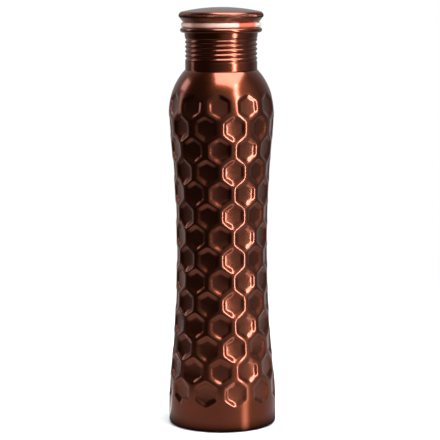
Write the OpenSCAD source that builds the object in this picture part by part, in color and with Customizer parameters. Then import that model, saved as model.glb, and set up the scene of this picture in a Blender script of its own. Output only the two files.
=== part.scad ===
// Copper water bottle with a hexagon-embossed body and a screw cap.
// Millimetres, +Z up, origin at the middle of the foot on the ground.
// Every piece is spun or pressed from sheet, so each is drawn as a path
// with the sheet's thickness laid on its left-hand side, then revolved.

/* [Body] */
// Diameter of the plain band above the foot
base_d = 74; // [72:0.5:78]
// Diameter at the narrow waist
waist_d = 62.6; // [61:0.2:65]
// Height of the waist above the ground
waist_z = 122.5; // [118:0.5:127]
// Radius of the long hollow curve of the side
side_curve_r = 806; // [780:1:840]
// Largest radius of the domed shoulder
shoulder_r = 36.05; // [35.6:0.05:36.6]
// Height of the shoulder's centre
shoulder_z = 215.8; // [214:0.2:218]
// Vertical half-axis of the shoulder's dome
shoulder_rise = 40.5; // [39.5:0.1:42]
// Thickness of the copper sheet
sheet_t = 0.6; // [0.5:0.05:0.7]
// Radius of the rolled edge under the base band
foot_round = 2.4; // [1.6:0.1:3]
// Inner radius of the turned-in foot ring
foot_ring_r = 33.4; // [32:0.1:34]

/* [Hexagon dimples] */
// Number of rows
dimple_rows = 14; // [10:1:14]
// Dimples in each row
dimples_round = 11; // [9:1:11]
// Height of the middle of the lowest row
first_row_z = 26.6; // [26:0.1:28]
// Height from one row to the next
row_pitch = 15.04; // [14.9:0.02:15.2]
// Rise of the middle rows above even spacing
row_bow = 1; // [0:0.1:1.2]
// Width across the flats at the rim
dimple_rim = 15.6; // [13:0.1:16]
// Width across the flats of the floor
dimple_floor = 10.4; // [8:0.1:11]
// Depth of the floor below the crown of the body
dimple_depth = 2; // [1.4:0.1:2.2]
// Turn of the lowest row from the front, anticlockwise from above
dimple_phase = 14.5; // [-16:0.5:16]

/* [Neck] */
// Radius of the neck
neck_r = 24.6; // [24.4:0.05:24.8]
// Radius of the neck under the curled lip
flare_r = 25.1; // [25:0.05:25.3]
// Height of the middle of the curled lip
lip_z = 272.3; // [272:0.1:272.6]
// Radius of the curl, outside
curl_r = 1.75; // [1.6:0.05:1.9]
// Height of the top of the threaded stretch
thread_top = 266.4; // [265:0.2:267]
// Turns of thread pressed into the neck
neck_turns = 4.75; // [3:0.25:4.75]

/* [Thread] */
// Rise of the thread in one turn
thread_pitch = 3.15; // [3.1:0.05:3.3]
// Depth of the thread pressed into the neck
thread_depth = 0.8; // [0.6:0.05:0.8]
// Straight facets in one turn of thread
facets = 36; // [24:4:48]

/* [Cap] */
// Largest radius of the knurled rim
rim_r = 29; // [28.6:0.1:29.4]
// Height of the rim's widest line
rim_z = 282.1; // [281.8:0.1:282.4]
// Height of the cap's underside
cap_under = 277.8; // [277.6:0.1:278]
// Height of the top of the dome
cap_top = 287.7; // [286.5:0.1:289]
// Teeth of the knurl
knurl_teeth = 138; // [60:2:140]
// Radius of the plug's barrel
plug_r = 22.8; // [22.6:0.05:22.9]
// Height of the plug's closed end
plug_bottom = 256.5; // [255:0.5:258]
// Turns of thread on the plug
plug_turns = 2.5; // [1:0.25:2.75]
// Outer radius of the gasket
gasket_r = 27.3; // [26.8:0.1:27.6]

/* [Base] */
// Height of the recessed base above the ground
base_recess = 5; // [4:0.5:6]
// Radius of the raised middle of the base
base_panel_r = 25; // [20:1:28]

/* [Hidden] */
$fn = 96;

base_r = base_d / 2;
waist_r = waist_d / 2;
gap = 0.1;                        // play between neighbouring pieces
lap = 0.25;                       // how far a thread's root runs into its wall
ridge_root = 2.4;                 // widths of the ridge that the neck's thread raises inside
ridge_crest = 1.1;
groove_mouth = 2.2;               // widths of the groove that it leaves outside
groove_floor = 0.5;
plug_rib_root = 1.7;              // widths of the plug's rib, and its height
plug_rib_crest = 0.7;
plug_rib_h = 0.9;
flange_r = rim_r - 3.6;           // outer radius of the plug's flange
rim_fold = 3;                     // how far inside the rim the crown's underside begins
rim_curve = [[-0.3, -0.8], [0, 0], [-0.25, 0.9], [-0.9, 2]];  // rim's curve from its widest line
knurl_cut = 0.6;                  // side of the square bar that cuts one groove of the knurl
knurl_h = 2.2;                    // height of a groove
knurl_set = 0.15;                 // how far the bar's middle stands off the rim
flare_drop = 2.2;                 // how far below the lip's middle the neck's flare ends
curl_end = -115;                  // angle at which the lip's curl ends
plug_corner = 1.5;                // corner radii of the plug and of the base disc
disc_corner = 1.6;
panel_rise = 1;                   // height and width of the step round the base's middle
panel_step = 2;
blend = 0.9;                      // how far two curves differ where their blend starts
hex_corner = 2 / sqrt(3);         // corner radius of a hexagon of unit half-width
tuck = 0.08;                      // how far the embossed sheet's ends are thinned on each side
tuck_h = 0.4;                     // how far they run into the plain sheet
wall_shift = 2 * sheet_t * tan(atan2(dimple_depth, (dimple_rim - dimple_floor) / 2) / 2);
emboss_low = first_row_z - dimple_rim / 2 * hex_corner - tuck_h;
emboss_high = first_row_z + row_pitch * (dimple_rows - 1) + dimple_rim / 2 * hex_corner + tuck_h;
neck_bottom = 241.5;
shell_top = 245.2;
neck_inner = neck_r - sheet_t;
thread_low = thread_top - neck_turns * thread_pitch;
lip_top = lip_z + curl_r;
curl_x = flare_r - sheet_t + curl_r;
gasket_low = lip_top + gap;
gasket_high = cap_under - gap;
gasket_mid = (gasket_low + gasket_high) / 2;
gasket_in = plug_r + 0.5;
dome_edge_r = rim_r - 1.6;
dome_edge_z = rim_z + 2.5;
dome_rise = cap_top - dome_edge_z;
dome_ball = (pow(dome_edge_r, 2) + pow(dome_rise, 2)) / (2 * dome_rise);
copper = [0.36, 0.16, 0.10];
bright_copper = [0.80, 0.45, 0.32];
silicone = [0.93, 0.80, 0.74];

// ---- curves ------------------------------------------------------------------------

// Blend of the lower of two values, exact where they differ by more than the blend.
function soft_min(a, b) = min(a, b) - pow(max(blend - abs(a - b), 0), 2) / (4 * blend);

// Radius at a height of the long side curve, of the shoulder's dome, and of the body they bound.
function side_r(z) = waist_r + side_curve_r - sqrt(pow(side_curve_r, 2) - pow(z - waist_z, 2));
function dome_r(z) = shoulder_r * sqrt(1 - pow(max(z - shoulder_z, 0) / shoulder_rise, 2));
function body_r(z) = soft_min(side_r(z), z < waist_z ? base_r : dome_r(z));

// Tilt of the body's surface, in degrees, positive where it faces up.
function body_tilt(z) = -atan((body_r(z + 1) - body_r(z - 1)) / 2);

// Points of an arc about a centre, from angle a to angle b.
function arc(c, r, a, b, n) = [for (i = [0:n]) c + r * [cos(a + (b - a) * i / n), sin(a + (b - a) * i / n)]];

// ---- sheet metal -------------------------------------------------------------------

function unit(v) = v / norm(v);
function left(v) = [-v[1], v[0]];

// Normal of a path at point i, long enough to keep the sheet's thickness at a bend.
function path_normal(p, i) =
    let (before = unit(p[max(i, 1)] - p[max(i, 1) - 1]))
    let (after = unit(p[min(i, len(p) - 2) + 1] - p[min(i, len(p) - 2)]))
    let (mean = unit(before + after))
    left(mean) / (mean * after);

// Closed outline of a sheet that lies along a path, on its left-hand side.
function sheet(p, t) =
    let (other = [for (i = [len(p) - 1:-1:0]) p[i] + t * path_normal(p, i)])
    concat(p, [for (q = other) [max(q[0], 0), q[1]]]);

module spun(path) {
    rotate_extrude() polygon(sheet(path, sheet_t));
}

// ---- swept threads -----------------------------------------------------------------

// One cross-section of a thread: width wi at radius ri, and width wo at radius ro.
function thread_ring(a, z, ri, wi, ro, wo) = [
    for (p = [[ri, -wi], [ro, -wo], [ro, wo], [ri, wi]])
    [p[0] * cos(a), p[0] * sin(a), z + p[1] / 2]
];

// Closed solid through a row of four-cornered sections.
module swept(rings) {
    n = len(rings);
    sides = [
        for (i = [0:n - 2]) for (k = [0:3])
        let (a = 4 * i + k, b = 4 * i + (k + 1) % 4)
        for (f = [[a, b, a + 4], [b, b + 4, a + 4]]) f
    ];
    ends = [[0, 2, 1], [0, 3, 2], [4 * n - 4, 4 * n - 3, 4 * n - 2], [4 * n - 4, 4 * n - 2, 4 * n - 1]];
    polyhedron([for (r = rings) for (p = r) p], concat(sides, ends));
}

// Right-handed thread from height low, whose tip fades into radius r_fade at both ends.
module helix(low, turns, r_root, w_root, r_tip, w_tip, r_fade) {
    steps = round(turns * facets);
    swept([
        for (i = [0:steps])
        let (fade = min(1, min(i, steps - i) / (facets / 3)))
        let (tip = r_fade + (r_tip - r_fade) * fade)
        let (z = low + thread_pitch * i / facets)
        r_root < r_tip
            ? thread_ring(360 * i / facets, z, r_root, w_root, tip, w_tip)
            : thread_ring(360 * i / facets, z, tip, w_tip, r_root, w_root)
    ]);
}

// ---- hexagon dimples ---------------------------------------------------------------

// Corner k of a pointy-topped hexagon, w across the flats, clockwise from the top.
function hex_at(w, k) = w / 2 * hex_corner * [sin(60 * k), cos(60 * k)];

// Height and angle of the middle of a dimple. Every other row is turned by half a step.
function dimple_z(row) = first_row_z + row_pitch * row + row_bow * sin(180 * row / (dimple_rows - 1));
function dimple_angle(row, i) = -90 + dimple_phase + 360 / dimples_round * (i + (row % 2) / 2);

// Point of the body's skin, or set back inside it by an inset.
function skin_at(angle, z, inset) =
    let (r = body_r(z) - inset * cos(body_tilt(z)))
    [r * cos(angle), r * sin(angle), z - inset * sin(body_tilt(z))];

// Point of a dimple's rim, at place p on the skin around the dimple's middle.
function rim_at(angle, z, p, inset) =
    skin_at(angle + p[0] / body_r(z) * 180 / PI, z + p[1] * cos(body_tilt(z)), inset);

// Point of a dimple's flat floor, at place p and a depth below the dimple's middle.
function floor_at(angle, z, p, depth) =
    let (out = [cos(angle) * cos(body_tilt(z)), sin(angle) * cos(body_tilt(z)), sin(body_tilt(z))])
    let (side = [-sin(angle), cos(angle), 0])
    skin_at(angle, z, 0) + p[0] * side + p[1] * cross(out, side) - depth * out;

// The twelve corners of one dimple, rim first. The inside of the sheet has an inset of its thickness.
function dimple_corners(row, i, inset) =
    let (angle = dimple_angle(row, i), z = dimple_z(row), wider = wall_shift * inset / sheet_t)
    concat(
        [for (k = [0:5]) rim_at(angle, z, hex_at(dimple_rim + wider, k), inset)],
        [for (k = [0:5]) floor_at(angle, z, hex_at(dimple_floor + wider, k), dimple_depth + inset)]
    );

// Level ring of points that ends the embossed sheet, six to a dimple of the nearest row.
function end_ring(row, z, inset) = [
    for (i = [0:dimples_round - 1]) for (j = [-2:3])
    let (swing = j == 3 ? 180 / dimples_round : j * dimple_rim / 4 / body_r(z) * 180 / PI)
    skin_at(dimple_angle(row, i) + swing, z, inset)
];

// Number of corner k of a dimple: 0 to 5 round its rim, 6 to 11 round its floor.
function at(row, i, k) = 12 * (dimples_round * row + (i + dimples_round) % dimples_round) + k;

// Faces of one dimple and of the skin to its right and above it, clockwise from outside.
function dimple_faces(row, i) =
    let (right = i + 1, up_right = i + row % 2, up_left = up_right - 1, up = row + 1)
    concat(
        [[for (k = [6:11]) at(row, i, k)]],
        [
            for (k = [0:5]) let (n = (k + 1) % 6)
            [at(row, i, k), at(row, i, n), at(row, i, n + 6), at(row, i, k + 6)]
        ],
        [[at(row, i, 1), at(row, right, 5), at(row, right, 4), at(row, i, 2)]],
        row == dimple_rows - 1 ? [] : [
            [at(row, i, 0), at(up, up_right, 4), at(up, up_right, 3), at(row, i, 1)],
            [at(row, i, 5), at(up, up_left, 3), at(up, up_left, 2), at(row, i, 0)],
            [at(row, i, 0), at(up, up_left, 2), at(up, up_right, 4)],
            [at(row, i, 1), at(up, up_right, 3), at(row, right, 5)]
        ]
    );

// Faces from the free edge of an end row, left to right, to its ring whose first point is number first.
function end_faces(row, corners, first) = [
    for (i = [0:dimples_round - 1]) for (j = [0:2])
    let (a = at(row, i, corners[j]), b = j < 2 ? at(row, i, corners[j + 1]) : at(row, i + 1, corners[0]))
    let (p = 6 * i + 2 * j, q = (p + 2) % (6 * dimples_round))
    for (f = [[a, first + p + 1, first + p], [a, b, first + p + 1], [b, first + q, first + p + 1]]) f
];

function reversed(f) = [for (i = [len(f) - 1:-1:0]) f[i]];

// The embossed stretch of the body as sheet, from ring to ring.
module embossed_sheet() {
    last = dimple_rows - 1;
    cells = 12 * dimple_rows * dimples_round;
    ring = 6 * dimples_round;
    side = cells + 2 * ring;
    insets = [0, sheet_t];
    tucks = [tuck, sheet_t - tuck];
    points = [
        for (s = [0, 1])
        for (p = concat(
            [
                for (row = [0:last]) for (i = [0:dimples_round - 1])
                for (c = dimple_corners(row, i, insets[s])) c
            ],
            end_ring(0, emboss_low - tuck_h, tucks[s]),
            end_ring(last, emboss_high + tuck_h, tucks[s])
        )) p
    ];
    outside = concat(
        [for (row = [0:last]) for (i = [0:dimples_round - 1]) for (f = dimple_faces(row, i)) f],
        end_faces(0, [4, 3, 2], cells),
        [for (f = end_faces(last, [5, 0, 1], cells + ring)) reversed(f)]
    );
    inside = [for (f = outside) [for (k = reversed(f)) k + side]];
    rims = [
        for (k = [0:ring - 1])
        let (n = (k + 1) % ring, low = cells, high = cells + ring)
        for (f = [
            [low + k, low + n, low + n + side, low + k + side],
            [high + n, high + k, high + k + side, high + n + side]
        ]) f
    ];
    polyhedron(points, concat(outside, inside, rims));
}

// ---- the bottle --------------------------------------------------------------------

// Embossed body between a plain base band with its foot and a plain domed shoulder.
module body_shell() {
    foot = arc([base_r - foot_round, foot_round], foot_round, -90, 0, 6);
    dome = [for (a = [0:9:90]) emboss_high + (shell_top - emboss_high) * sin(a)];
    color(copper)
    difference() {
        union() {
            spun(concat([[foot_ring_r, 0]], foot, [[base_r, emboss_low]]));
            embossed_sheet();
            spun([for (z = dome) [body_r(z), z]]);
        }
        translate([0, 0, neck_bottom]) cylinder(r = neck_r + gap / 2, h = shell_top);
    }
}

// Neck with the thread rolled through its wall and the lip curled outwards.
module neck_collar() {
    path = concat(
        [[neck_r, neck_bottom], [neck_r, thread_top], [flare_r, lip_z - flare_drop]],
        arc([curl_x, lip_z], curl_r - sheet_t, 180, curl_end, 14)
    );
    color(copper)
    difference() {
        union() {
            spun(path);
            helix(
                thread_low, neck_turns, neck_inner + lap, ridge_root,
                neck_inner - thread_depth, ridge_crest, neck_inner + gap
            );
        }
        helix(
            thread_low, neck_turns, neck_r + 2 * lap, groove_mouth,
            neck_inner - gap, groove_floor, neck_r + gap
        );
    }
}

// Recessed base: a disc with a skirt soldered inside the base band.
module base_disc() {
    edge_r = base_r - sheet_t - gap;
    floor_z = base_recess + sheet_t;
    panel_z = floor_z + panel_rise;
    color(bright_copper)
    spun(concat(
        [[edge_r, foot_round + gap]],
        arc([edge_r - disc_corner, floor_z - disc_corner], disc_corner, 0, 90, 5),
        [[base_panel_r + panel_step, floor_z], [base_panel_r, panel_z], [0, panel_z]]
    ));
}

// ---- the cap -----------------------------------------------------------------------

// Soft ring that the cap squeezes down on the lip.
module cap_gasket() {
    half = gasket_high - gasket_mid;
    color(silicone)
    rotate_extrude() polygon(concat(
        [[gasket_in, gasket_low]],
        arc([gasket_r - half, gasket_mid], half, -90, 90, 12),
        [[gasket_in, gasket_high]]
    ));
}

// Domed crown whose knurled rim is folded under the plug's flange.
module cap_crown() {
    dome_half = asin(dome_edge_r / dome_ball);
    color(copper)
    difference() {
        spun(concat(
            [[gasket_in, cap_under], [rim_r - rim_fold, cap_under]],
            [for (p = rim_curve) [rim_r, rim_z] + p],
            arc([0, cap_top - dome_ball], dome_ball, 90 - dome_half, 90, 10)
        ));
        for (i = [0:knurl_teeth - 1])
            rotate([0, 0, 360 / knurl_teeth * i]) translate([rim_r + knurl_set, 0, rim_z])
            rotate([0, 0, 45]) cube([knurl_cut, knurl_cut, knurl_h], center = true);
    }
}

// Hollow threaded plug, closed below, with the flange that the crown holds.
module cap_plug() {
    flange_z = cap_under + sheet_t + gap / 2;
    path = concat(
        [[0, plug_bottom]],
        arc([plug_r - plug_corner, plug_bottom + plug_corner], plug_corner, -90, 0, 5),
        [[plug_r, flange_z], [flange_r, flange_z]]
    );
    color(bright_copper)
    union() {
        spun(path);
        helix(
            thread_low + thread_pitch * (floor(neck_turns - plug_turns) + 0.5), plug_turns,
            plug_r - lap, plug_rib_root, plug_r + plug_rib_h, plug_rib_crest, plug_r - gap
        );
    }
}

body_shell();
neck_collar();
base_disc();
cap_gasket();
cap_crown();
cap_plug();
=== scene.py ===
import math

import bmesh
import bpy
import numpy as np
from mathutils import Matrix, Vector


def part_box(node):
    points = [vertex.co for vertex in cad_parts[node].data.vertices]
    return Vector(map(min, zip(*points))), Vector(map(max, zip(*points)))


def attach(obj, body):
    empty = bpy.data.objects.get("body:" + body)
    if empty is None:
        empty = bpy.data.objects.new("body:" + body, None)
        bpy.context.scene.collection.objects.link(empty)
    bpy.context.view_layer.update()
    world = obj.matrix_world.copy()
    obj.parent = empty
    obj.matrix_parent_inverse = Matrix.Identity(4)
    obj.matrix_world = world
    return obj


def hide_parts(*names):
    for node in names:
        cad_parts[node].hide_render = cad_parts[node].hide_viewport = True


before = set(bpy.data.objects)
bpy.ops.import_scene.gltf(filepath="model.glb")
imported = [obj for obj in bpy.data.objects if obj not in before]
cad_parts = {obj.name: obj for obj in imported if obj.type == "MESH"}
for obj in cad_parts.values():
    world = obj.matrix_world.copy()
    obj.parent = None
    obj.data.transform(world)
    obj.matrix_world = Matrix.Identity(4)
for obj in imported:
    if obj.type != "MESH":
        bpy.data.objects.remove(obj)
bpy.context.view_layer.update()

MM = 0.001

# ---- sizes -------------------------------------------------------------------------
# The frame gives the outer sizes; the rest are the bottle's own, in metres.

SHELL_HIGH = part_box("body_shell")[1]
NECK_LOW, NECK_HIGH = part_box("neck_collar")
BASE_LOW, BASE_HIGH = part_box("base_disc")
RING_LOW, RING_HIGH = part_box("cap_gasket")
CROWN_LOW, CROWN_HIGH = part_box("cap_crown")
PLUG_LOW, PLUG_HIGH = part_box("cap_plug")

SHEET = 0.6 * MM
BASE_R = SHELL_HIGH.x
WAIST_R = 31.3 * MM
WAIST_Z = 122.5 * MM
SIDE_CURVE_R = 806 * MM        # radius of the side's long hollow curve
SHOULDER_R = 36.05 * MM
SHOULDER_Z = 215.8 * MM
SHOULDER_RISE = 40.5 * MM
SHELL_TOP = SHELL_HIGH.z
BLEND = 0.9 * MM               # over which one curve of the body runs into the next
FOOT_ROUND = 2.4 * MM
FOOT_RING_R = 33.4 * MM        # inner edge of the turned-in foot

ROWS = 14
ROUND = 11                     # dimples in a row
FIRST_ROW_Z = 26.6 * MM
ROW_PITCH = 15.04 * MM
ROW_BOW = 1.0 * MM             # how far the middle rows lie above even spacing
PHASE = math.radians(14.5)     # azimuth of a dimple of the lowest row
RIM_ACROSS = 15.6 * MM
FLOOR_ACROSS = 10.4 * MM
DEPTH = 2.0 * MM
FLOOR_SAG = 0.25 * MM          # the floor's middle lies this much deeper than its edge
LAND = 0.34                    # how far beyond the rim a pressing's curve starts, in wall widths
FLOOR_SOFT = 0.15              # how far inside the floor's edge it ends, in wall widths

NECK_R = 24.6 * MM
FLARE_R = 25.1 * MM            # the neck's radius just under its lip
CURL_R = 1.75 * MM
CURL_END = -115                # where the curled lip ends, in degrees: 90 is up and -90 down
LIP_Z = NECK_HIGH.z - CURL_R
FLARE_TOP = LIP_Z - 2.2 * MM
THREAD_TOP = 266.4 * MM
THREAD_TURNS = 4.75
THREAD_PITCH = 3.15 * MM
THREAD_DEPTH = 0.8 * MM
THREAD_LOW = THREAD_TOP - THREAD_TURNS * THREAD_PITCH

PANEL_R = 25 * MM              # the base plate's raised middle
PANEL_RISE = 1 * MM
PLATE_CORNER = 1.6 * MM
BEVEL = 0.1 * MM               # at the foot of the plate's skirt

HOLE_R = 23.3 * MM             # hole in the sealing ring and in the crown's underside
RING_BEVEL = 0.25 * MM
RIM_R = 29.0 * MM              # the crown's widest point
RIM_Z = 282.1 * MM
CAP_UNDER = CROWN_LOW.z
CAP_TOP = CROWN_HIGH.z
RIM_OUTLINE = (                # mm from RIM_R and RIM_Z, upwards over the knurled rim
    (-0.28, -0.95), (-0.10, -0.55), (-0.02, -0.2), (-0.02, 0.2), (-0.12, 0.6),
    (-0.35, 1.05), (-0.62, 1.5), (-0.95, 1.95), (-1.3, 2.28),
)
RIM_INSIDE = ((-1.2, -0.8), (-1.05, 0.2), (-1.7, 1.7))     # the same on the inside
UNDER_R = RIM_R - 3.3 * MM     # edge of the crown's flat underside
UNDER_FOLD_R = UNDER_R + 0.45 * MM
UNDER_FOLD_Z = CAP_UNDER + 0.18 * MM
UNDER_INSIDE_R = 25.5 * MM
DOME_EDGE_R = RIM_R - 1.6 * MM
DOME_EDGE_Z = RIM_Z + 2.5 * MM
DOME_INSIDE = 0.985            # radii inside the dome, as a share of those outside
KNURL_TEETH = 138
POINTS_A_TOOTH = 6
KNURL_MIDDLE = RIM_Z + 0.1 * MM
KNURL_HALF = 1.25 * MM         # half the knurled band's height
KNURL_DEPTH = 0.55 * MM
KNURL_SLANT = 0.3 * math.pi    # turn of a groove over KNURL_HALF, where pi is one tooth
KNURL_STEEP = 1.3              # how steep the grooves' sides are

PLUG_R = 22.8 * MM
PLUG_CORNER = 1.5 * MM
PLUG_FILLET = 0.2 * MM         # under its flange
PLUG_CHAMFER = 0.3 * MM        # at the top of its bore
PLUG_RIB_R = 23.7 * MM
PLUG_RIB_TURNS = 2.5
PLUG_RIB_START = 2.5           # turns of the neck's thread below the start of the plug's rib
PLUG_RIB_LOW = THREAD_LOW + PLUG_RIB_START * THREAD_PITCH
PLUG_RINGS = (3 * MM, 8 * MM, 14 * MM, 19 * MM)    # radii of the rings of its closed end


# ---- curves ------------------------------------------------------------------------

def soft_min(a, b):
    """The lower of two values, blended where they differ by less than BLEND."""
    return np.minimum(a, b) - np.maximum(BLEND - np.abs(a - b), 0) ** 2 / (4 * BLEND)


def body_r(z):
    """Radius of the body's skin at a height: base band, long side curve and domed shoulder."""
    z = np.asarray(z, float)
    side = WAIST_R + SIDE_CURVE_R - np.sqrt(SIDE_CURVE_R ** 2 - (z - WAIST_Z) ** 2)
    dome = SHOULDER_R * np.sqrt(1 - (np.maximum(z - SHOULDER_Z, 0) / SHOULDER_RISE) ** 2)
    return soft_min(side, np.where(z < WAIST_Z, BASE_R, dome))


def body_normal(z):
    """Radial and vertical parts of the skin's outward normal at a height."""
    step = 0.5 * MM
    slope = (body_r(z + step) - body_r(z - step)) / (2 * step)
    size = np.sqrt(1 + slope ** 2)
    return 1 / size, -slope / size


def skin(theta, z, inward):
    """Points on the body's skin, or set back inside it, at angles theta and heights z."""
    nr, nz = body_normal(z)
    return lathe_ring(theta, body_r(z) - inward * nr, z - inward * nz)


def lathe_ring(theta, r, z):
    """Points at angles theta round the axis, at radius r and height z."""
    return np.stack([r * np.cos(theta), r * np.sin(theta), z + 0 * theta], -1)


def full_circle(columns):
    """Evenly spaced angles round the axis."""
    return np.linspace(0, 2 * math.pi, columns, endpoint=False)


def arc(cx, cz, r, a, b, n):
    """Points (r, z) of an arc from angle a to angle b in degrees."""
    t = np.radians(np.linspace(a, b, n + 1))
    return [(cx + r * math.cos(x), cz + r * math.sin(x)) for x in t]


# ---- mesh helpers ------------------------------------------------------------------

MERGE = 2e-6                   # points closer than this become one
SHORTEST = 1e-7                # edges shorter than this are dissolved


class Surface:
    """Collects points and faces, with one value of wear a point, below 0 for painted shade, and makes a
    clean mesh of them.
    """

    def __init__(self):
        self.points, self.faces, self.wear, self.count = [], [], [], 0

    def add(self, points, wear=0.0):
        """Adds an array of points of any shape and returns their numbers in that shape."""
        points = np.asarray(points, float)
        n = points.size // 3
        self.points.append(points.reshape(-1, 3))
        self.wear.append(np.broadcast_to(wear, points.shape[:-1]).reshape(-1))
        numbers = np.arange(self.count, self.count + n).reshape(points.shape[:-1])
        self.count += n
        return numbers

    def ring(self, theta, r, z, wear=0.0):
        """Adds a ring round the axis and returns its numbers."""
        return self.add(lathe_ring(theta, r, z), wear)

    def on_axis(self, z):
        """Adds one point on the axis and returns its number."""
        return self.add(np.array([[0, 0, z]]))[0]

    def rings(self, rows):
        """Quads between each closed row of point numbers and the next."""
        for low, high in zip(rows, rows[1:]):
            n = len(low)
            for i in range(n):
                k = (i + 1) % n
                self.faces.append((int(low[i]), int(low[k]), int(high[k]), int(high[i])))

    def fan(self, ring, centre):
        """Triangles from a closed row of point numbers to one point."""
        n = len(ring)
        for i in range(n):
            self.faces.append((int(ring[i]), int(ring[(i + 1) % n]), int(centre)))

    def make(self, name, material):
        """Makes the object, with doubled points merged and smooth faces that look outwards."""
        mesh = bpy.data.meshes.new(name)
        mesh.from_pydata(np.concatenate(self.points).tolist(), [], self.faces)
        wear = mesh.attributes.new("wear", "FLOAT", "POINT")
        wear.data.foreach_set("value", np.concatenate(self.wear).astype(np.float32))
        bm = bmesh.new()
        bm.from_mesh(mesh)
        bmesh.ops.remove_doubles(bm, verts=bm.verts, dist=MERGE)
        bmesh.ops.dissolve_degenerate(bm, edges=bm.edges, dist=SHORTEST)
        bmesh.ops.recalc_face_normals(bm, faces=bm.faces)
        bm.to_mesh(mesh)
        bm.free()
        mesh.polygons.foreach_set("use_smooth", [True] * len(mesh.polygons))
        obj = bpy.data.objects.new(name, mesh)
        bpy.context.scene.collection.objects.link(obj)
        mesh.materials.append(material)
        return obj


def turned(name, material, path, columns):
    """Piece revolved from an outline of (r, z) points: a closed one, or one from axis to axis."""
    s = Surface()
    theta = full_circle(columns)
    from_axis = path[0][0] == 0
    ends = [s.on_axis(path[i][1]) for i in (0, -1)] if from_axis else []
    rows = [s.ring(theta, r, z) for r, z in (path[1:-1] if from_axis else path)]
    s.rings(rows if from_axis else rows + [rows[0]])
    for ring, end in zip((rows[0], rows[-1]), ends):
        s.fan(ring, end)
    return s.make(name, material)


def finish_piece(obj, body, node):
    """Puts a piece on its body, in place of its CAD node."""
    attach(obj, body)
    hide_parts(node)


# ---- node helpers ------------------------------------------------------------------

MIX_A, MIX_B, MIX_COLOUR = 6, 7, 2     # the Mix node's colour sockets: two inputs and the output


class Tree:
    """Short hand for building a node tree. Values are numbers or (node, output) pairs."""

    def __init__(self, tree):
        self.tree = tree
        self.tree.nodes.clear()
        self.place = self.add("ShaderNodeTexCoord")

    def add(self, kind, **settings):
        node = self.tree.nodes.new(kind)
        for key, value in settings.items():
            setattr(node, key, value)
        return node

    def feed(self, value, node, into):
        """Sets an input to a number, or links it to a (node, output) pair."""
        if isinstance(value, tuple):
            self.tree.links.new(value[0].outputs[value[1]], node.inputs[into])
        else:
            node.inputs[into].default_value = value

    def maths(self, operation, *values):
        node = self.add("ShaderNodeMath", operation=operation)
        for i, value in enumerate(values):
            self.feed(value, node, i)
        return node, "Value"

    def parts(self, place):
        """The three coordinates of a place: an output of the texture coordinates."""
        node = self.add("ShaderNodeSeparateXYZ")
        self.feed((self.place, place), node, 0)
        return (node, "X"), (node, "Y"), (node, "Z")

    def away(self):
        """Distance from the object's origin."""
        node = self.add("ShaderNodeVectorMath", operation="LENGTH")
        self.feed((self.place, "Object"), node, 0)
        return node, "Value"

    def remap(self, value, lo, hi, to_lo, to_hi):
        """Turns lo into to_lo and hi into to_hi, straight between them and level beyond."""
        node = self.add("ShaderNodeMapRange")
        names = ("Value", "From Min", "From Max", "To Min", "To Max")
        for name, number in zip(names, (value, lo, hi, to_lo, to_hi)):
            self.feed(number, node, name)
        return node, "Result"

    def mix(self, factor, a, b, blend="MIX"):
        """Mix of two colours; a and b are colours, or (node, output) pairs."""
        node = self.add("ShaderNodeMix", data_type="RGBA", blend_type=blend)
        self.feed(factor, node, "Factor")
        for colour, socket in ((a, MIX_A), (b, MIX_B)):
            if isinstance(colour[0], bpy.types.Node):
                self.feed(colour, node, socket)
            else:
                node.inputs[socket].default_value = (*colour, 1)
        return node, MIX_COLOUR

    def mix_shader(self, factor, a, b):
        node = self.add("ShaderNodeMixShader")
        for i, value in enumerate((factor, a, b)):
            self.feed(value, node, i)
        return node, "Shader"

    def azimuth(self, place):
        """Azimuth of a place, as 0 at -180 degrees, 0.5 on the camera's side and 1 at 180."""
        x, y = self.parts(place)[:2]
        turn = self.maths("ARCTAN2", x, self.maths("MULTIPLY", y, -1))
        return self.remap(turn, -math.pi, math.pi, 0, 1)

    def by_azimuth(self, azimuth, table):
        """Colour from a table of (degrees, colour)."""
        node = self.add("ShaderNodeValToRGB")
        stops = node.color_ramp.elements
        for degrees, _ in table[1:-1]:
            stops.new((degrees + 180) / 360)
        for stop, (degrees, colour) in zip(stops, table):
            stop.position = (degrees + 180) / 360
            stop.color = (*colour, 1)
        self.feed(azimuth, node, "Fac")
        return node, "Color"


class Material(Tree):
    """Node tree of a new material, with its main shader."""

    def __init__(self, name):
        self.material = bpy.data.materials.new(name)
        self.material.use_nodes = True
        super().__init__(self.material.node_tree)
        self.out = self.add("ShaderNodeOutputMaterial")
        self.shader = self.add("ShaderNodeBsdfPrincipled")
        self.feed((self.shader, "BSDF"), self.out, "Surface")

    def surface(self, value):
        """Puts another shader in the place of the main one."""
        self.feed(value, self.out, "Surface")

    def set(self, **values):
        """Sets or links inputs of the shader, named with _ for a space."""
        for key, value in values.items():
            self.feed(value, self.shader, key.replace("_", " "))

    def noise(self, scale, detail, rough=0.5, stretch=(1, 1, 1)):
        mapping = self.add("ShaderNodeMapping")
        mapping.inputs["Scale"].default_value = stretch
        self.feed((self.place, "Object"), mapping, "Vector")
        noise = self.add("ShaderNodeTexNoise")
        self.feed((mapping, "Vector"), noise, "Vector")
        for name, number in (("Scale", scale), ("Detail", detail), ("Roughness", rough)):
            self.feed(number, noise, name)
        return noise, "Fac"

    def bumps(self, *layers):
        """Chain of bumps from (height, strength, distance) layers."""
        last = None
        for height, strength, distance in layers:
            bump = self.add("ShaderNodeBump")
            self.feed(height, bump, "Height")
            self.feed(strength, bump, "Strength")
            self.feed(distance, bump, "Distance")
            if last:
                self.feed((last, "Normal"), bump, "Normal")
            last = bump
        self.feed((last, "Normal"), self.shader, "Normal")


# ---- materials ---------------------------------------------------------------------

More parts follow.
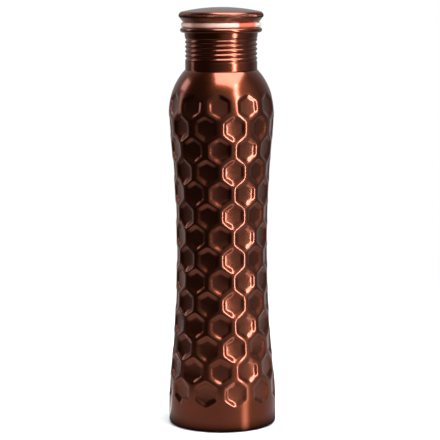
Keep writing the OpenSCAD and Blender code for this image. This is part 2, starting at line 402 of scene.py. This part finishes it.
PATINA_DARK = (0.207, 0.037, 0.010)
PATINA_LIGHT = (0.262, 0.053, 0.016)
# Near black: painted shade in the knurl's grooves, used where the wear value is below 0.
KNURL_GROOVE_SHADE = (0.025, 0.007, 0.003)
RUBBED = (0.42, 0.166, 0.104)
TARNISHED = (0.62, 0.27, 0.16)
BARE = (0.80, 0.40, 0.25)
MILKY_DARK = (0.74, 0.53, 0.46)
MILKY_LIGHT = (0.81, 0.62, 0.54)
BOARD_DARK = (0.90, 0.87, 0.83)
BOARD_LIGHT = (0.92, 0.89, 0.85)
SWEEP_START = 0.25             # distance at which the floor starts to fade into white
SWEEP_END = 0.60
PAINTED_RING_LIGHT = (               # painted light by azimuth: shade at the left front, a highlight in front and a red glow of light through the ring to the right
    (-180, (0.8, 0.7, 0.65)), (-80, (0.8, 0.7, 0.65)), (-52, (0.75, 0.62, 0.58)),
    (-42, (0.32, 0.20, 0.17)), (-28, (0.40, 0.27, 0.23)), (-12, (0.75, 0.62, 0.56)),
    (5, (0.95, 0.85, 0.78)), (24, (0.95, 0.88, 0.80)), (28, (0.75, 0.20, 0.11)),
    (56, (0.75, 0.22, 0.13)), (61, (0.75, 0.72, 0.70)), (180, (0.8, 0.7, 0.65)),
)


def antique_copper():
    """Dark lacquered copper: brown patina, rubbed bright where wear is 1, and near black as painted
    shade where the value is -1.
    """
    m = Material("antique_copper")
    cloud = m.noise(scale=38, detail=4, rough=0.55)
    fine = m.noise(scale=240, detail=2)
    marks = m.noise(scale=600, detail=2, stretch=(0.12, 0.12, 1.0))
    wear = m.add("ShaderNodeAttribute", attribute_name="wear"), "Fac"
    patina = m.mix(m.remap(cloud, 0.35, 0.68, 0, 1), PATINA_DARK, PATINA_LIGHT)
    # Painted shade: near black where the value is below 0, which only the knurl's grooves have.
    patina_and_groove_shade = m.mix(m.remap(wear, -1, 0, 1, 0), patina, KNURL_GROOVE_SHADE)
    breakup = m.remap(fine, 0.30, 0.62, 0.6, 1)
    rubbed = m.maths("MULTIPLY", m.remap(wear, 0, 1, 0, 1), breakup)
    m.set(Base_Color=m.mix(rubbed, patina_and_groove_shade, RUBBED), Roughness=m.remap(cloud, 0.25, 0.75, 0.19, 0.25))
    m.set(Metallic=1.0, Coat_Weight=0.55, Coat_Roughness=0.12, Coat_IOR=1.55)
    m.bumps((marks, 0.02, 0.05 * MM), (fine, 0.01, 0.05 * MM))
    return m.material


def bright_copper():
    """Bare copper on the plug: turned marks, a little tarnish."""
    m = Material("bright_copper")
    cloud = m.noise(scale=60, detail=4, rough=0.6)
    marks = m.noise(scale=1500, detail=2, stretch=(0.05, 0.05, 1.0))
    colour = m.mix(m.remap(cloud, 0.38, 0.66, 0, 1), TARNISHED, BARE)
    m.set(Base_Color=colour, Roughness=m.remap(marks, 0.3, 0.7, 0.22, 0.38), Metallic=1.0)
    m.bumps((marks, 0.25, 0.08 * MM))
    return m.material


def silicone():
    """Milky silicone with a warm cast, with painted shade, a painted highlight and a painted red glow
    set by azimuth.
    """
    m = Material("sealing_silicone")
    cloud = m.noise(scale=90, detail=3)
    grain = m.noise(scale=1400, detail=2)
    # Painted light round the ring: darker at the left front, paler in front and red to the right.
    painted_light = m.by_azimuth(m.azimuth("Object"), PAINTED_RING_LIGHT)
    colour = m.mix(1.0, m.mix(cloud, MILKY_DARK, MILKY_LIGHT), painted_light, "MULTIPLY")
    m.set(Base_Color=colour, Roughness=m.remap(grain, 0.3, 0.7, 0.26, 0.40))
    m.set(Subsurface_Weight=0.25, Subsurface_Scale=0.002, IOR=1.42)
    m.bumps((grain, 0.12, 0.05 * MM))
    return m.material


def studio_floor():
    """Pale board round the bottle that fades into a white sweep further out."""
    m = Material("studio_floor")
    grain = m.noise(scale=60, detail=3)
    m.set(Base_Color=m.mix(grain, BOARD_DARK, BOARD_LIGHT), Roughness=0.8, Specular_IOR_Level=0.1)
    m.bumps((grain, 0.02, 0.1 * MM))
    fade = m.remap(m.away(), SWEEP_START, SWEEP_END, 0, 1)
    glow = m.add("ShaderNodeEmission"), "Emission"
    board = m.mix_shader(fade, (m.shader, "BSDF"), glow)
    # The sheet's faces point down. Seen from below it is clear, so that the underside can be looked at.
    from_above = m.add("ShaderNodeNewGeometry"), "Backfacing"
    clear = m.add("ShaderNodeBsdfTransparent"), "BSDF"
    m.surface(m.mix_shader(from_above, clear, board))
    return m.material


# ---- the embossed body -------------------------------------------------------------

CELL_STEP = 10                 # degrees between points round one hexagon cell
CELL_ANGLE = 2 * math.pi / ROUND
CELL_ACROSS = ROW_PITCH * 2 / math.sqrt(3)
CELL_TIP = ROW_PITCH * 2 / 3   # from the middle of a cell up to its topmost point
HEXAGON_SIDES = np.radians(np.arange(0, 360, 60))
CORNER_POWER = 16              # how sharp the hexagons' corners are
WALL = (RIM_ACROSS - FLOOR_ACROSS) / 2
OUTER_STOPS = (-0.33, -0.18, 0.00, 0.16, 0.33, 0.50, 0.67, 0.84, 0.96, 1.06, 1.16, 1.55)
INNER_STOPS = (-0.05, 0.5, 1.05)
EDGE_GAP = 0.1                 # share of the land, times -stop, kept free at the cell's edge
RIM_WEAR = 0.3                 # how rubbed the rims are
RIM_WEAR_AT = -0.1             # where they are rubbed most, and how wide, in wall widths
RIM_WEAR_WIDTH = 0.30
FLOOR_WEAR = 0.20              # how rubbed the floors are
FLOOR_WEAR_FROM = 0.6          # where on the wall that starts
PLAIN_GAP = 0.8 * MM           # from the outermost points of the cells to the first level ring
DOME_RINGS = 13


def bowed(z):
    """Height of a point of the even grid of rows, once the middle rows are raised by ROW_BOW."""
    along = (z - FIRST_ROW_Z) / (ROW_PITCH * (ROWS - 1))
    return z + ROW_BOW * np.sin(math.pi * along)


def wall_profile(x):
    """How far down a pressing is, x wall widths inside its rim: 0 on the land and 1 on its floor."""
    t = min(max((x + LAND) / (1 + LAND + FLOOR_SOFT), 0), 1)
    return t * t * (3 - 2 * t)


def wear_at(x):
    """How rubbed a pressing is, x wall widths inside its rim."""
    rim = RIM_WEAR * math.exp(-((x - RIM_WEAR_AT) / RIM_WEAR_WIDTH) ** 2)
    return rim + FLOOR_WEAR * min(max(x - FLOOR_WEAR_FROM, 0) / (1 - FLOOR_WEAR_FROM), 1)


def hexagon(phi, across):
    """Points of a pointy-topped hexagon with rounded corners, at polar angles phi."""
    reach = np.maximum(np.cos(phi[:, None] - HEXAGON_SIDES[None, :]), 0) ** CORNER_POWER
    radius = across / 2 / reach.sum(1) ** (1 / CORNER_POWER)
    return radius * np.cos(phi), radius * np.sin(phi)


def cell_edge(phi):
    """Sharp cell boundary of the staggered grid at polar angles phi, as (turn, rise)."""
    radius = CELL_ACROSS / 2 / np.max(np.cos(phi[:, None] - HEXAGON_SIDES[None, :]), 1)
    return radius * np.cos(phi) / CELL_ACROSS * CELL_ANGLE, radius * np.sin(phi)


def cell_centre(row, i):
    """Angle and height in the even grid of the middle of a pressing."""
    angle = -math.pi / 2 + PHASE + CELL_ANGLE * (i + (row % 2) / 2)
    return angle, FIRST_ROW_Z + ROW_PITCH * row


def cell(surface, centre_angle, even_z, inward, stops):
    """One hexagon pressing. stops are its rings, from the rim (0) to the floor's edge (1) and on."""
    centre_z = float(bowed(even_z))
    phi = np.radians(np.arange(0, 360, CELL_STEP))
    nr, nz = body_normal(centre_z)
    r = float(body_r(centre_z))
    out = np.array([nr * math.cos(centre_angle), nr * math.sin(centre_angle), nz])
    side = np.array([-math.sin(centre_angle), math.cos(centre_angle), 0.0])
    up = np.cross(out, side)
    centre = skin(np.array(centre_angle), np.array(centre_z), 0.0)
    widen = 2 * inward * math.tan(math.atan2(DEPTH, WALL) / 2)
    rim_u, rim_v = hexagon(phi, RIM_ACROSS + widen)
    low_u, low_v = hexagon(phi, FLOOR_ACROSS + widen)
    edge_turn, edge_v = cell_edge(phi)
    edge_u = edge_turn * r
    # The cell's boundary lies on the skin itself, so that neighbouring cells meet exactly.
    rings = [surface.add(skin(centre_angle + edge_turn, bowed(even_z + edge_v), inward))]
    for stop in stops:
        if stop <= 0:
            reach = -stop * WALL / np.hypot(edge_u - rim_u, edge_v - rim_v)
            reach = np.minimum(reach, 1 + stop * EDGE_GAP)
            u, v = rim_u + (edge_u - rim_u) * reach, rim_v + (edge_v - rim_v) * reach
        elif stop <= 1:
            u, v = rim_u + (low_u - rim_u) * stop, rim_v + (low_v - rim_v) * stop
        else:
            keep = max(0.0, 1 - (stop - 1) * WALL / (FLOOR_ACROSS / 2))
            u, v = low_u * keep, low_v * keep
        on_skin = skin(centre_angle + u / r, centre_z + v * up[2], inward)
        sag = FLOOR_SAG * np.clip(1 - (u ** 2 + v ** 2) / (FLOOR_ACROSS / 2) ** 2, 0, 1)
        drop = DEPTH + inward - FLOOR_SAG + sag
        on_floor = centre + u[:, None] * side + v[:, None] * up - drop[:, None] * out
        rings.append(surface.add(on_skin + (on_floor - on_skin) * wall_profile(stop), wear_at(stop)))
    surface.rings(rings)
    middle = surface.add((centre - (DEPTH + inward) * out)[None, :], FLOOR_WEAR)
    surface.fan(rings[-1], middle[0])


def grid_edge(row, upward):
    """Angles and heights of the zigzag edge of the lowest or highest row of cells."""
    phi = np.arange(30, 150, CELL_STEP) if upward else np.arange(330, 210, -CELL_STEP)
    turn, rise = cell_edge(np.radians(phi))
    order = np.argsort(turn)
    centres = [cell_centre(row, i) for i in range(ROUND)]
    thetas = [angle + turn[order] for angle, z in centres]
    heights = [bowed(z + rise[order]) for angle, z in centres]
    return np.concatenate(thetas), np.concatenate(heights)


def plain_rings(surface, edge, level, inward):
    """Rings of plain skin from a zigzag edge of the cells to the level ring at a height."""
    theta, edge_z = edge
    heights = [edge_z + (level - edge_z) * share for share in (0, 1 / 3, 2 / 3)]
    return [surface.add(skin(theta, z, inward)) for z in heights + [np.full_like(theta, level)]]


def body_shell(material):
    """The embossed cells with the plain dome above them and the base band and foot below."""
    s = Surface()
    for inward, stops in ((0.0, OUTER_STOPS), (SHEET, INNER_STOPS)):
        for row in range(ROWS):
            for i in range(ROUND):
                cell(s, *cell_centre(row, i), inward, stops)
    # Plain dome above the cells, over the edge at the neck and back down inside.
    edge = grid_edge(ROWS - 1, True)
    dome_start = cell_centre(ROWS - 1, 0)[1] + CELL_TIP + PLAIN_GAP
    rows = []
    for inward in (0.0, SHEET):
        part = plain_rings(s, edge, dome_start, inward)
        for z in np.linspace(dome_start, SHELL_TOP, DOME_RINGS)[1:]:
            part.append(s.add(skin(edge[0], np.full_like(edge[0], z), inward)))
        rows += part if inward == 0 else part[::-1]
    s.rings(rows)
    # Plain band below the cells, round the foot and back up inside.
    edge = grid_edge(0, False)
    band_top = FIRST_ROW_Z - CELL_TIP - PLAIN_GAP
    rows = []
    for inward in (0.0, SHEET):
        part = plain_rings(s, edge, band_top, inward)
        for z in (band_top * 0.6, FOOT_ROUND * 1.6):
            part.append(s.add(skin(edge[0], np.full_like(edge[0], z), inward)))
        for r, z in arc(BASE_R - FOOT_ROUND, FOOT_ROUND, FOOT_ROUND - inward, 0, -90, 7):
            part.append(s.ring(edge[0], r, z))
        part.append(s.ring(edge[0], FOOT_RING_R, inward))
        rows += part if inward == 0 else part[::-1]
    s.rings(rows)
    return s.make("embossed_body", material)


# ---- the neck ----------------------------------------------------------------------

COLUMNS = 144                  # points round the neck, the sealing ring and the plug
THREAD_STEP = 0.28 * MM        # between rings over a thread
THREAD_MARGIN = 1.6 * MM       # how far those rings go on beyond its ends
THREAD_FADE = 0.35             # half the length over which a thread fades at its ends, in turns
NECK_CREST = 1.5               # how narrow the crests of the two threads are
PLUG_CREST = 2.2
LIP_WEAR = 0.5


def thread_wave(theta, z, low, turns, sharp):
    """0 to 1 along the crest of a right-handed thread, fading out at both ends."""
    along = (z - low) / THREAD_PITCH
    phase = along - theta / (2 * math.pi)
    crest = (0.5 + 0.5 * np.cos(2 * math.pi * phase)) ** sharp
    inside = np.minimum(along + THREAD_FADE, turns + THREAD_FADE - along)
    fade = np.clip(inside / (2 * THREAD_FADE), 0, 1)
    return crest * fade * fade * (3 - 2 * fade)


def neck_collar(material):
    """Spun neck with its rolled thread, and the lip curled outwards into a bead."""
    s = Surface()
    theta = full_circle(COLUMNS)
    stations = [NECK_LOW.z + rise * MM for rise in (0, 1, 3, 5, 7)]
    stations += list(np.arange(THREAD_LOW - THREAD_MARGIN, THREAD_TOP + THREAD_MARGIN, THREAD_STEP))
    stations += [THREAD_TOP + 2.15 * MM]
    stations.sort()
    wall, back = [], []
    for rows, inward in ((wall, 0), (back, SHEET)):
        for z in stations:
            flare = np.clip((z - THREAD_TOP) / (FLARE_TOP - THREAD_TOP), 0, 1)
            r = NECK_R + (FLARE_R - NECK_R) * flare * flare * (3 - 2 * flare)
            wave = thread_wave(theta, z, THREAD_LOW, THREAD_TURNS, NECK_CREST)
            rows.append(s.ring(theta, r - inward - THREAD_DEPTH * wave, z))
    # The wall runs up into the curl; the curl's own outside is the wall's inside.
    curl_x = FLARE_R - SHEET + CURL_R
    wall += [s.ring(theta, x, z) for x, z in arc(curl_x, LIP_Z, CURL_R - SHEET, 180, CURL_END, 22)]
    for x, z in arc(curl_x, LIP_Z, CURL_R, 180, CURL_END, 22):
        marking = LIP_WEAR * max(0.0, math.sin(math.atan2(z - LIP_Z, x - curl_x)))
        back.append(s.ring(theta, x, z, marking))
    s.rings(wall + back[::-1] + [wall[0]])
    return s.make("threaded_neck", material)


# ---- base, gasket, crown and plug --------------------------------------------------

def plate_side(inward, foot, corner_steps):
    """Outline of the base plate's upper or lower side, from the axis to the foot of its skirt."""
    top = BASE_HIGH.z - inward
    panel = PANEL_R - inward / 3
    step = ((-0.4, 0), (0.3, -0.1), (1.7, 0.1 - PANEL_RISE / MM), (2.4, -PANEL_RISE / MM))
    corner_r, corner_z = BASE_HIGH.x - PLATE_CORNER, BASE_HIGH.z - PANEL_RISE - PLATE_CORNER
    path = [(r * MM, top) for r in (0, 2, 6, 12, 20)]
    path += [(panel + r * MM, top + z * MM) for r, z in step]
    path += arc(corner_r, corner_z, PLATE_CORNER - inward, 90, 0, corner_steps)
    edge = BASE_HIGH.x - inward
    return path + [(edge, BASE_LOW.z + BEVEL), (edge + foot, BASE_LOW.z)]


def base_disc(material):
    """Recessed plate, from the axis underneath out to its skirt and back over the top."""
    path = plate_side(SHEET, BEVEL, 6) + plate_side(0.0, -BEVEL, 8)[::-1]
    return turned("base_plate", material, path, 128)


def cap_gasket(material):
    """Sealing ring with a round outer edge."""
    half = (RING_HIGH.z - RING_LOW.z) / 2
    middle = (RING_HIGH.z + RING_LOW.z) / 2
    path = [(HOLE_R + RING_BEVEL, RING_LOW.z)]
    path += arc(RING_HIGH.x - half, middle, half, -90, 90, 16)
    path += [(HOLE_R + RING_BEVEL, RING_HIGH.z)]
    path += [(HOLE_R, RING_HIGH.z - RING_BEVEL), (HOLE_R, RING_LOW.z + RING_BEVEL)]
    return turned("sealing_ring", material, path, COLUMNS)


def cap_crown(material):
    """Domed crown. The rim's knurl is cut by two crossing sets of slanting grooves."""
    s = Surface()
    theta = full_circle(KNURL_TEETH * POINTS_A_TOOTH)
    rise = CAP_TOP - DOME_EDGE_Z
    ball = (DOME_EDGE_R ** 2 + rise ** 2) / (2 * rise)
    half = math.degrees(math.asin(DOME_EDGE_R / ball))
    fold = np.array([UNDER_FOLD_R, UNDER_FOLD_Z])
    rim = [(RIM_R + r * MM, RIM_Z + z * MM) for r, z in RIM_OUTLINE]
    path = [(HOLE_R, CAP_UNDER), (UNDER_R, CAP_UNDER)]
    path += [tuple(fold + (np.array(rim[0]) - fold) * share) for share in (0, 0.25, 0.5, 0.75, 0.9)]
    path += rim + arc(0, CAP_TOP - ball, ball, 90 - half, 90, 12)[:-1]
    rows = []
    for r, z in path:
        height = (z - KNURL_MIDDLE) / KNURL_HALF
        band = max(0.0, 1 - height ** 4)
        turns = theta * KNURL_TEETH / 2
        slant = height * KNURL_SLANT
        grooves = np.minimum(np.abs(np.sin(turns + slant)), np.abs(np.sin(turns - slant)))
        cut = KNURL_DEPTH * band * (1 - np.clip(KNURL_STEEP * grooves, 0, 1))
        # Crests rubbed bright at 1; groove bottoms at -1 get painted shade, near black.
        marking = band * np.clip(KNURL_STEEP * (2 * grooves - 1), -1, 1)
        rows.append(s.ring(theta, r - cut, z, marking))
    s.rings(rows)
    s.fan(rows[-1], s.on_axis(CAP_TOP))
    inside = [(HOLE_R, CAP_UNDER + SHEET), (UNDER_INSIDE_R, CAP_UNDER + SHEET)]
    inside += [(RIM_R + r * MM, RIM_Z + z * MM) for r, z in RIM_INSIDE]
    roof = arc(0, CAP_TOP - ball, ball, 90 - half, 90, 6)[1:-1]
    inside += [(r * DOME_INSIDE, z - SHEET) for r, z in roof]
    under = [rows[0]] + [s.ring(theta, r, z) for r, z in inside]
    s.rings(under)
    s.fan(under[-1], s.on_axis(CAP_TOP - SHEET))
    return s.make("knurled_crown", material)


def cap_plug(material):
    """Hollow plug with a ribbed wall, a closed lower end and a flange at its top."""
    s = Surface()
    theta = full_circle(COLUMNS)
    low, flange = PLUG_LOW.z, PLUG_HIGH.z - SHEET
    corner = (PLUG_R - PLUG_CORNER, low + PLUG_CORNER)
    outside = [(r, low) for r in PLUG_RINGS] + arc(*corner, PLUG_CORNER, -90, 0, 6)
    bore = PLUG_R - SHEET
    inside = [(PLUG_R, flange - PLUG_FILLET), (PLUG_R + PLUG_FILLET, flange)]
    inside += [(PLUG_HIGH.x, flange), (PLUG_HIGH.x, PLUG_HIGH.z)]
    inside += [(bore + PLUG_CHAMFER, PLUG_HIGH.z - PLUG_CHAMFER), (bore, PLUG_HIGH.z)]
    inside += [(bore, z) for z in (flange - 4 * MM, low + 8 * MM, low + 2 * MM)]
    inside += arc(*corner, PLUG_CORNER - SHEET, 0, -90, 4)
    inside += [(r, low + SHEET) for r in PLUG_RINGS[::-1]]
    rows = [s.ring(theta, r, z) for r, z in outside]
    for z in np.arange(corner[1] + 0.3 * MM, flange - 2 * PLUG_FILLET, THREAD_STEP):
        wave = thread_wave(theta, z, PLUG_RIB_LOW, PLUG_RIB_TURNS, PLUG_CREST)
        rows.append(s.ring(theta, PLUG_R + (PLUG_RIB_R - PLUG_R) * wave, z))
    rows += [s.ring(theta, r, z) for r, z in inside]
    s.rings(rows)
    s.fan(rows[0], s.on_axis(low))
    s.fan(rows[-1], s.on_axis(low + SHEET))
    return s.make("threaded_plug", material)


# ---- studio ------------------------------------------------------------------------

CAMERA_DISTANCE = 1.312
CAMERA_HEIGHT = 0.3177
AIM = Vector((-0.0012, 0, 0.1416))
SENSOR = 36.0
FOCAL_PIXELS = 1918.8
IMAGE = 440
ROLL = math.radians(-0.2)

LAMP_COLOUR = (0.90, 1.0, 1.15)
LAMP_DISTANCE = 1.2
LAMP_AIM = Vector((0, 0, 0.15))

MATT_LIGHT = 0.80              # the room's even light on matt things
ROOM_LEVELS = (                # its brightness in reflections, by azimuth
    (-180, 0.34), (-140, 0.26), (-118, 0.14), (-92, 0.02), (-40, 0.02), (-15, 0.14),
    (30, 0.24), (60, 0.37), (75, 0.34), (90, 0.20), (105, 0.11), (140, 0.22), (180, 0.34),
)
LOW_LEVELS = (                 # the same below the horizon
    (-180, 0.40), (-140, 0.30), (-118, 0.14), (-92, 0.02), (-20, 0.02), (-5, 0.06),
    (12, 0.27), (60, 0.31), (85, 0.20), (105, 0.13), (140, 0.25), (180, 0.40),
)
HORIZON = (-0.11, -0.04)       # sines of elevation: LOW_LEVELS below these, ROOM_LEVELS above
LIFT_UP_TO = 0.6               # sine of elevation at which the room is LIFT times as bright
LIFT = 1.5

TABLE_GLOW = 0.41
TABLE_REACH = 0.25
TABLE_RISE = 0.035             # how far its outer edge is raised
TABLE_FADE = (0.11, 0.20)      # distances between which its left part fades to TABLE_FAR
TABLE_FAR = 0.25
TABLE_RIGHT = (-0.01, 0.09)    # x left of which it fades so, and x right of which it doesn't
FOOT_SHADE = 0.05              # how much of the glow is left at the bottle's foot
FOOT_SHADE_WIDTH = 0.02
GLARE = 2.6                    # the key light's glare on the table
GLARE_AZIMUTH = 50
GLARE_WIDTH = (0.03, 0.17)     # half widths of its core and of all of it, as shares of its reach


def camera():
    """Camera at the photo's height, distance and angle of view."""
    data = bpy.data.cameras.new("camera")
    data.sensor_width = SENSOR
    data.lens = SENSOR * FOCAL_PIXELS / IMAGE
    obj = bpy.data.objects.new("camera", data)
    bpy.context.scene.collection.objects.link(obj)
    obj.location = (0, -CAMERA_DISTANCE, CAMERA_HEIGHT)
    obj.rotation_euler = (AIM - obj.location).to_track_quat("-Z", "Y").to_euler()
    obj.rotation_euler.rotate_axis("Z", ROLL)
    bpy.context.scene.camera = obj


def around(azimuth, height):
    """Place of a lamp. Azimuth 0 is the camera's side, and it is positive to the camera's right."""
    a = math.radians(azimuth)
    return (LAMP_DISTANCE * math.sin(a), -LAMP_DISTANCE * math.cos(a), height)


def softbox(name, low, high, width, radiance):
    """Flat lamp of a given width from one end point to the other, turned to face the bottle."""
    low, high = Vector(low), Vector(high)
    along = (high - low).normalized()
    middle = (low + high) / 2
    facing = LAMP_AIM - middle
    facing = (facing - along * facing.dot(along)).normalized()
    data = bpy.data.lights.new(name, "AREA")
    data.shape = "RECTANGLE"
    data.size, data.size_y = width, (high - low).length
    data.energy = radiance * math.pi * data.size * data.size_y
    data.color = LAMP_COLOUR
    obj = bpy.data.objects.new(name, data)
    bpy.context.scene.collection.objects.link(obj)
    turn = Matrix((along.cross(-facing), along, -facing)).transposed()
    obj.matrix_world = Matrix.Translation(middle) @ turn.to_4x4()
    obj.visible_camera = False


def room():
    """World: white to the camera, an even pale light on matt things, and a dim studio in reflections."""
    world = bpy.data.worlds.new("studio")
    bpy.context.scene.world = world
    world.use_nodes = True
    t = Tree(world.node_tree)

    def glow(strength):
        node = t.add("ShaderNodeBackground")
        node.inputs["Color"].default_value = (1, 1, 1, 1)
        t.feed(strength, node, "Strength")
        return node, "Background"

    # Brightness by direction: dark to the left, dim in front, brighter to the right and behind.
    azimuth = t.azimuth("Generated")
    upward = t.parts("Generated")[2]
    low, high = [
        t.by_azimuth(azimuth, [(degrees, (level,) * 3) for degrees, level in levels])
        for levels in (LOW_LEVELS, ROOM_LEVELS)
    ]
    mirrored = glow(t.remap(upward, 0.0, LIFT_UP_TO, 1.0, LIFT))
    t.feed(t.mix(t.remap(upward, *HORIZON, 0, 1), low, high), mirrored[0], "Color")
    ray = t.add("ShaderNodeLightPath")
    unseen = t.mix_shader((ray, "Is Glossy Ray"), glow(MATT_LIGHT), mirrored)
    seen = t.mix_shader((ray, "Is Camera Ray"), unseen, glow(1.0))
    t.feed(seen, t.add("ShaderNodeOutputWorld"), "Surface")


def ring_sheet(name, rings, material):
    """Open sheet of rings of (r, z) round the bottle."""
    s = Surface()
    theta = full_circle(96)
    s.rings([s.ring(theta, r, z) for r, z in rings])
    return s.make(name, material)


def table_glow():
    """What reflections see of the table: an even glow, with the key light's glare spreading on it."""
    m = Material("bounce_card")
    start_azimuth = math.radians(GLARE_AZIMUTH / 2)
    start = BASE_R * Vector((math.sin(start_azimuth), -math.cos(start_azimuth), 0))
    toward = math.radians(GLARE_AZIMUTH)

    def along(direction, extra):
        """Distance from the glare's start along a direction on the table, plus an extra."""
        dot = m.add("ShaderNodeVectorMath", operation="DOT_PRODUCT")
        dot.inputs[1].default_value = direction
        m.feed((m.place, "Object"), dot, 0)
        return m.maths("ADD", (dot, "Value"), extra - start.dot(direction))

    aside = m.maths("ABSOLUTE", along(Vector((math.cos(toward), math.sin(toward), 0)), 0))
    ahead = along(Vector((math.sin(toward), -math.cos(toward), 0)), BASE_R / 2)
    spread = m.maths("DIVIDE", aside, m.maths("MAXIMUM", ahead, BASE_R / 2))
    bright = m.remap(spread, *GLARE_WIDTH, GLARE, TABLE_GLOW)
    away = m.away()
    foot = m.remap(away, BASE_R, BASE_R + FOOT_SHADE_WIDTH, FOOT_SHADE, 1)
    far = m.remap(away, *TABLE_FADE, 1, TABLE_FAR)
    right = m.remap(m.parts("Object")[0], *TABLE_RIGHT, 0, 1)
    lit = m.maths("MULTIPLY", bright, m.maths("MAXIMUM", far, right))
    glow = m.add("ShaderNodeEmission")
    m.feed(m.maths("MULTIPLY", lit, foot), glow, "Strength")
    m.surface((glow, "Emission"))
    return m.material


def studio():
    """Room, lamps, floor, and a card that only reflections see in place of the floor."""
    bpy.context.scene.view_settings.view_transform = "Standard"
    room()
    softbox("key_strip", around(46, -0.30), around(37, 1.05), width=0.18, radiance=15.5)
    softbox("key_top", around(38, 1.05), around(49, 1.60), width=0.19, radiance=12.5)
    softbox("left_strip", around(-103, 0.17), around(-107, 0.66), width=0.22, radiance=1.3)
    softbox("left_box", around(-110, 0.70), around(-113, 1.06), width=0.44, radiance=2.4)
    softbox("overhead", (0.22, -0.82, 1.25), (0.22, 0.30, 1.25), width=0.96, radiance=7.4)
    floor = ring_sheet("floor", [(0.0005, 0), (0.1, 0), (0.6, 0), (4.0, 0)], studio_floor())
    floor.visible_glossy = False
    table = [(BASE_R * 0.9, 0.0002), (0.12, 0.008), (TABLE_REACH, TABLE_RISE)]
    board = ring_sheet("bounce_card", table, table_glow())
    board.visible_camera = board.visible_diffuse = board.visible_shadow = False


# ---- build -------------------------------------------------------------------------

camera()
copper = antique_copper()
bare = bright_copper()
finish_piece(body_shell(copper), "bottle", "body_shell")
finish_piece(neck_collar(copper), "bottle", "neck_collar")
finish_piece(base_disc(copper), "bottle", "base_disc")
finish_piece(cap_gasket(silicone()), "seal", "cap_gasket")
finish_piece(cap_crown(copper), "cap", "cap_crown")
finish_piece(cap_plug(bare), "cap", "cap_plug")
studio()
